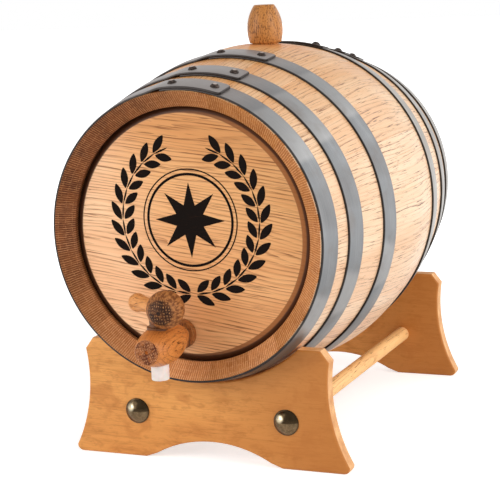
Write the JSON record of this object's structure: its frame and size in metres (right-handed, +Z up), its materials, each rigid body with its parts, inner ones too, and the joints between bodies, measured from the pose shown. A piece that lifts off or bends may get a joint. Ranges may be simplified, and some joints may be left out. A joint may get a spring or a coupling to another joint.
{
  "type": "cask drink dispenser",
  "caption": "Small hooped oak cask lying on a two-plate cradle, with a turned wooden tap low on the front head and a bung on top.",
  "frame": {"origin": "on the table, under the middle of the whole outfit", "axes": "+X to the cask's right seen from the tap, +Y from the tap to the rear along the cask, +Z up"},
  "size_m": [0.2126, 0.2956, 0.2755],
  "materials": {
    "oak_staves": "satin varnish",
    "oak_heads": "satin varnish",
    "steel_hoops": "brushed",
    "dark_rivets": "blued",
    "turned_oak": "oiled",
    "white_plastic": "moulded",
    "cradle_wood": "satin varnish",
    "rod_wood": "plain",
    "antique_brass": "antiqued"
  },
  "bodies": {
    "cradle": {"front_cradle_plate": "cradle_wood", "rear_cradle_plate": "cradle_wood", "left_rod": "rod_wood", "right_rod": "rod_wood", "rod_caps": "antique_brass"},
    "cask": {"bung_stave": "oak_staves", "stave_02": "oak_staves", "stave_03": "oak_staves", "stave_04": "oak_staves", "stave_05": "oak_staves", "stave_06": "oak_staves", "stave_07": "oak_staves", "stave_08": "oak_staves", "stave_09": "oak_staves", "stave_10": "oak_staves", "stave_11": "oak_staves", "stave_12": "oak_staves", "stave_13": "oak_staves", "stave_14": "oak_staves", "stave_15": "oak_staves", "stave_16": "oak_staves", "stave_17": "oak_staves", "stave_18": "oak_staves", "stave_19": "oak_staves", "stave_20": "oak_staves", "front_head_lower_board": "oak_heads", "front_head_middle_board": "oak_heads", "front_head_upper_board": "oak_heads", "rear_head_lower_board": "oak_heads", "rear_head_middle_board": "oak_heads", "rear_head_upper_board": "oak_heads", "front_head_hoop": "steel_hoops", "front_quarter_hoop": "steel_hoops", "front_bilge_hoop": "steel_hoops", "rear_head_hoop": "steel_hoops", "rear_quarter_hoop": "steel_hoops", "rear_bilge_hoop": "steel_hoops", "hoop_rivets": "dark_rivets", "tap_body": "turned_oak"},
    "bung": {"bung": "turned_oak"},
    "tap_key": {"tap_key": "white_plastic", "tap_handle": "turned_oak"}
  },
  "joints": [
    {"name": "cask_lift", "type": "slide", "parent": "cradle", "child": "cask", "axis": [0, 0, 1], "range_m": [0, 0.12]},
    {"name": "bung_pull", "type": "slide", "parent": "cask", "child": "bung", "axis": [0, 0, 1], "range_m": [0, 0.05]},
    {"name": "tap_turn", "type": "hinge", "parent": "cask", "child": "tap_key", "pos_m": [-0.00885, -0.13165, 0.0838], "axis": [0, 0, 1], "range_deg": [-61, 29]}
  ]
}
